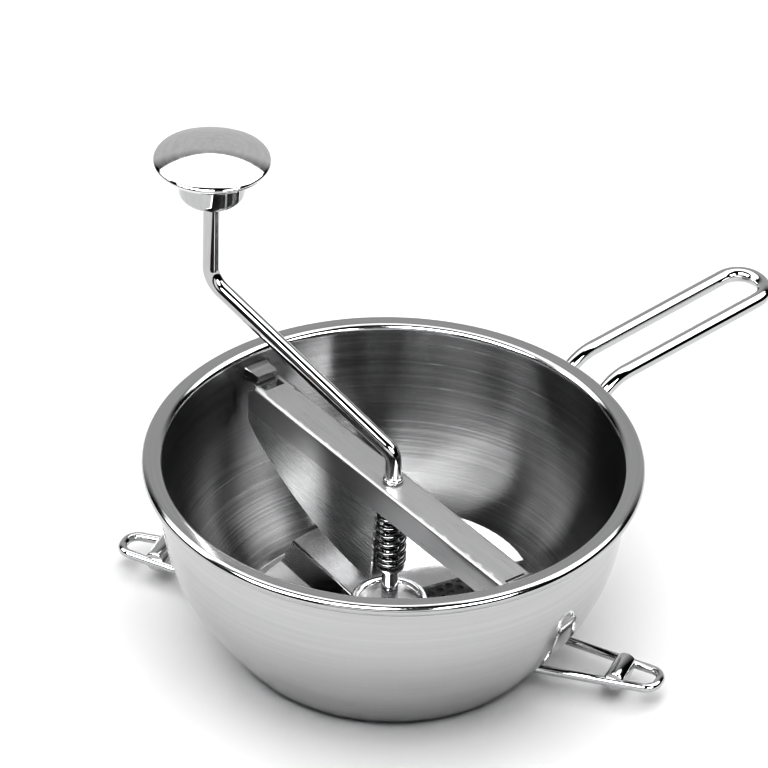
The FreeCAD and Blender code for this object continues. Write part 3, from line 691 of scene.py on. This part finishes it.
baffle_x = bridge_x[:, -1][bridge_x[:, -1] > baffle_top[0] - TINY][:, None]
drop = np.linspace(0, 1, 16)
baffle_z = flange_bottom + (baffle_edge(baffle_x) - flange_bottom) * drop
baffle_points = np.stack(np.broadcast_arrays(baffle_x, bridge_half, baffle_z), axis=-1)
baffle = patch(turned(baffle_points, bridge_azimuth), baffle_points, finish=1)
make_piece("bridge_surface", [channel, baffle], [satin_sheet, baffle_sheet], "bridge_body",
           "bridge", sheet=bridge_sheet, edge=0.25)

# %% [markdown]
# The spring presses the blade on the sieve. Its wire is a circle carried along a helix whose pitch is small
# in the closed end turns. When the bridge is pushed down it shortens, and it gets a mesh of its own.

# %% Pressure spring
spring_wire = 2.2
spring_radius = 6.4
spring_bottom = 39.8
spring_top = 84.8
turns = np.array([0, 2, 9, 10])
closed_pitch = 2.75
climb = spring_top - spring_bottom - spring_wire
levels = spring_bottom + spring_wire / 2 + np.array([0, 2 * closed_pitch, climb - closed_pitch, climb])
turn = np.linspace(0, turns[-1], 440)
helix = np.stack([
    spring_radius * np.cos(2 * np.pi * turn),
    spring_radius * np.sin(2 * np.pi * turn),
    np.interp(turn, turns, levels),
], axis=1)
coil = tube(helix, spring_wire / 2, (0, 0, 1), 20)
spring = make_piece("spring_surface", [coil], [spring_steel_painted_shade], "crank_body", "pressure_spring")
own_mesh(spring)

# %% [markdown]
# The knob is a domed cap with a rolled edge on a round cup. Both are pressed sheet, round about the
# spindle, so they are turned like the bowl. A squashed sphere would be quicker, but its edge would mirror
# too narrow a band.

# %% Knob
knob_radius = 28.0
knob_edge = 1.8
knob_sheet = 1.0
edge_return = 9.0
knob_height = 234.5
knob_crown = 6.5
knob_flat = knob_radius - knob_edge
knob_bottom = 213.1
bush_radius = 6.5
cup_bottom_radius = 15.5
cup_top_radius = 17.5
cup_corner = 5.5
knob_centre = polar(crank_reach, crank_azimuth)


def cap_line(inset):
    """The cap's outside, or its inside when inset: a dome tangent to the rolled edge's small circle.

    With edge radius e, flat radius f and rise h, the dome's radius is (f^2 + h^2 - e^2) / (2 (h - e)).
    """
    rise = knob_crown + knob_edge
    dome = (knob_flat ** 2 + rise ** 2 - knob_edge ** 2) / (2 * (rise - knob_edge))
    top = knob_height + rise
    meet = math.asin(knob_flat / (dome - knob_edge))
    a = np.linspace(0, meet, 28)
    b = np.linspace(meet, np.pi, 20)[1:]
    roll = knob_edge - inset
    over = np.stack([(dome - inset) * np.sin(a), top - dome + (dome - inset) * np.cos(a)], axis=1)
    edge = np.stack([knob_flat + roll * np.sin(b), knob_height + roll * np.cos(b)], axis=1)
    back = [(knob_flat - edge_return, knob_height - roll)]
    return np.vstack([over, edge, back])


cap_section = np.vstack([cap_line(0.0), cap_line(knob_sheet)[::-1]])
make_piece("knob_cap_surface", [lathe(cap_section, centre=knob_centre)], [polished_sheet], "knob_body",
           "knob_cap")
cup_top = knob_height - knob_edge
cup_floor = knob_bottom + knob_sheet
cup_outside = rounded(
    [(bush_radius, knob_bottom), (cup_bottom_radius, knob_bottom), (cup_top_radius, cup_top)], [cup_corner])
cup_inside = rounded(
    [(bush_radius, cup_floor), (cup_bottom_radius - 0.9, cup_floor), (cup_top_radius - knob_sheet, cup_top)],
    [cup_corner - knob_sheet])
cup_section = np.vstack([cup_outside, cup_inside[::-1], cup_outside[:1]])
make_piece("knob_cup_surface", [lathe(cup_section, centre=knob_centre)], [drawn_steel], "knob_body",
           "knob_skirt")

# %% [markdown]
# The sieve and the small turned pieces are flat or nearly hidden. They could be made again too, but flat
# faces mirror well as they are, so their solids stay and take a finish that reads object coordinates.

# %% Finishes of the solids that stay
solid_finishes = {
    "sieve_disc": sieve_steel,
    "sieve_bush": turned_steel,
    "rotor_collar": turned_steel,
    "bridge_bush": turned_steel,
    "spring_upper_washer": turned_steel,
    "spring_lower_washer": turned_steel,
    "spring_retaining_ring": turned_steel,
    "knob_bush": turned_steel,
    "knob_retaining_ring": turned_steel,
}
for node, finish in solid_finishes.items():
    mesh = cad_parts[node].data
    mesh.materials.clear()
    mesh.materials.append(finish)
print("solids with a finish", len(solid_finishes))

# %% [markdown]
# Steel shows its surroundings, so the studio matters as much as the finish. Each soft lamp stands where
# mirror rays from one part of the mill lead: behind and above for the knob, right for the arm and the
# baffle, left for the bowl's middle. They show in steel only, and one wide lamp overhead lights the pale
# floor by itself. A lit dome would be simpler, but it fills the dark sides of the bowl.

# %% Studio
view_azimuth = -42.0


def in_studio(x, y, z):
    """A place given as right, ahead and up of the camera's heading, turned into the mill's frame."""
    return turned(np.array([x, y, z], float), view_azimuth)


def placed(axes, place):
    """The matrix of an object whose own axes are the given columns and whose origin is the place."""
    return Matrix(np.vstack([np.c_[axes, place], [0, 0, 0, 1]]).tolist())


def soft_lamp(name, place, target, width, depth, watts, mirrored=True):
    """A rectangular lamp aimed at a target, either mirrored in the steel or lighting the floor alone."""
    lamp = bpy.data.lights.new(name, "AREA")
    lamp.shape = "RECTANGLE"
    lamp.size = width
    lamp.size_y = depth
    lamp.energy = watts
    made = bpy.data.objects.new(name, lamp)
    bpy.context.scene.collection.objects.link(made)
    back = unit(np.subtract(in_studio(*place), in_studio(*target)))
    right = unit(in_studio(1, 0, 0) - back * (in_studio(1, 0, 0) @ back))
    made.matrix_world = placed(np.stack([right, np.cross(back, right), back], axis=1), in_studio(*place))
    made.visible_camera = False
    made.visible_glossy = mirrored
    made.visible_diffuse = not mirrored


bowl_middle = (0, 0, 0.1)
soft_lamp("top_lamp", (0, 0.65, 1.5), (0, 0.65, 0), 3.6, 1.2, 21)
soft_lamp("right_lamp", (1.05, -1.34, 1.08), bowl_middle, 1.0, 0.6, 26)
soft_lamp("high_lamp", (1.12, 0.30, 1.48), bowl_middle, 1.6, 1.1, 15)
soft_lamp("front_lamp", (0, -2.4, 0.55), bowl_middle, 2.4, 0.8, 6)
soft_lamp("left_lamp", (-0.75, -0.96, 1.28), bowl_middle, 1.8, 0.7, 70)
soft_lamp("bend_lamp", (-1.75, 0.3, 0.95), bowl_middle, 0.8, 0.9, 6)
soft_lamp("floor_lamp", (0, 0, 4.0), (0, 0, 0), 6.0, 6.0, 240, mirrored=False)
print("lamps", len(bpy.data.lights))

# %% [markdown]
# The floor is one pale matt square, which the bowl's outside mirrors. It could reach to the horizon, but a
# small one lets the dark room draw the edges of the rods.

# %% Floor
floor_mesh = bpy.data.meshes.new("floor")
floor_reach = 0.8
floor_tone = 0.9
floor_roughness = 0.9
floor_mesh.from_pydata([(-floor_reach, -floor_reach, 0), (floor_reach, -floor_reach, 0),
                        (floor_reach, floor_reach, 0), (-floor_reach, floor_reach, 0)], [], [(0, 1, 2, 3)])
floor = bpy.data.objects.new("floor", floor_mesh)
bpy.context.scene.collection.objects.link(floor)
floor_paint = bpy.data.materials.new("floor_paint")
floor_paint.use_nodes = True
floor_shader = floor_paint.node_tree.nodes["Principled BSDF"]
floor_shader.inputs["Base Color"].default_value = (floor_tone, floor_tone, floor_tone, 1)
floor_shader.inputs["Roughness"].default_value = floor_roughness
floor_mesh.materials.append(floor_paint)
print("floor", 2 * floor_reach, "m wide")

# %% [markdown]
# The room is dark but for a grey wall behind the mill, which shows in the bridge, the rim and the knob. It
# could be built of planes, but a ramp over the heading has no corners to mirror. The camera alone sees
# white paper.

# %% Room seen in the steel
wall_start = 0.55
wall_full = 0.78
room_dark = 0.004
wall_grey = 0.5
world = bpy.data.worlds.new("studio")
bpy.context.scene.world = world
world.use_nodes = True
nodes, links = world.node_tree.nodes, world.node_tree.links
room = nodes["Background"]
room.inputs["Strength"].default_value = 1.0
direction = nodes.new("ShaderNodeTexCoord")
heading = nodes.new("ShaderNodeVectorMath")
heading.operation = "DOT_PRODUCT"
heading.inputs[1].default_value = in_studio(0, 1, 0)
links.new(direction.outputs["Generated"], heading.inputs[0])
room_tone = nodes.new("ShaderNodeValToRGB")
for element, position, grey in zip(
        room_tone.color_ramp.elements, (wall_start, wall_full), (room_dark, wall_grey)):
    element.position = position
    element.color = (grey, grey, grey, 1)
links.new(heading.outputs["Value"], room_tone.inputs["Fac"])
links.new(room_tone.outputs["Color"], room.inputs["Color"])
paper = nodes.new("ShaderNodeBackground")
paper.inputs["Color"].default_value = (1, 1, 1, 1)
seen = nodes.new("ShaderNodeLightPath")
choice = nodes.new("ShaderNodeMixShader")
links.new(seen.outputs["Is Camera Ray"], choice.inputs["Fac"])
links.new(room.outputs["Background"], choice.inputs[1])
links.new(paper.outputs["Background"], choice.inputs[2])
links.new(choice.outputs["Shader"], nodes["World Output"].inputs["Surface"])
print("room nodes", len(nodes))

# %% [markdown]
# The camera stands where the photograph was taken from. A long lens keeps the upright rods nearly parallel.
# Its place is a distance and elevation from the middle of the rim, with small turns that set the framing.
# The photograph has deep blacks and clear whites, so the view is shown with high contrast.

# %% Camera
camera_data = bpy.data.cameras.new("camera")
camera_data.lens = 400
camera_data.sensor_width = 36
camera_data.clip_end = 100
camera = bpy.data.objects.new("camera", camera_data)
bpy.context.scene.collection.objects.link(camera)
bpy.context.scene.camera = camera
distance = 4061.5
elevation, roll, yaw, tilt = np.radians([35.66, 1.70, -0.079, 0.529])
target = np.array([0, 0, rim_height - curl_radius])
right = np.array([1.0, 0, 0])
up = np.array([0, math.sin(elevation), math.cos(elevation)])
ahead = np.array([0, math.cos(elevation), -math.sin(elevation)])
place = target - distance * ahead
right, ahead = right * math.cos(yaw) - ahead * math.sin(yaw), right * math.sin(yaw) + ahead * math.cos(yaw)
up, ahead = up * math.cos(tilt) - ahead * math.sin(tilt), up * math.sin(tilt) + ahead * math.cos(tilt)
right, up = right * math.cos(roll) + up * math.sin(roll), up * math.cos(roll) - right * math.sin(roll)
axes = turned(np.stack([right, up, -ahead]), view_azimuth).T
camera.matrix_world = placed(axes, turned(place, view_azimuth) * MM)
bpy.context.scene.view_settings.view_transform = "Standard"
bpy.context.scene.view_settings.look = "High Contrast"
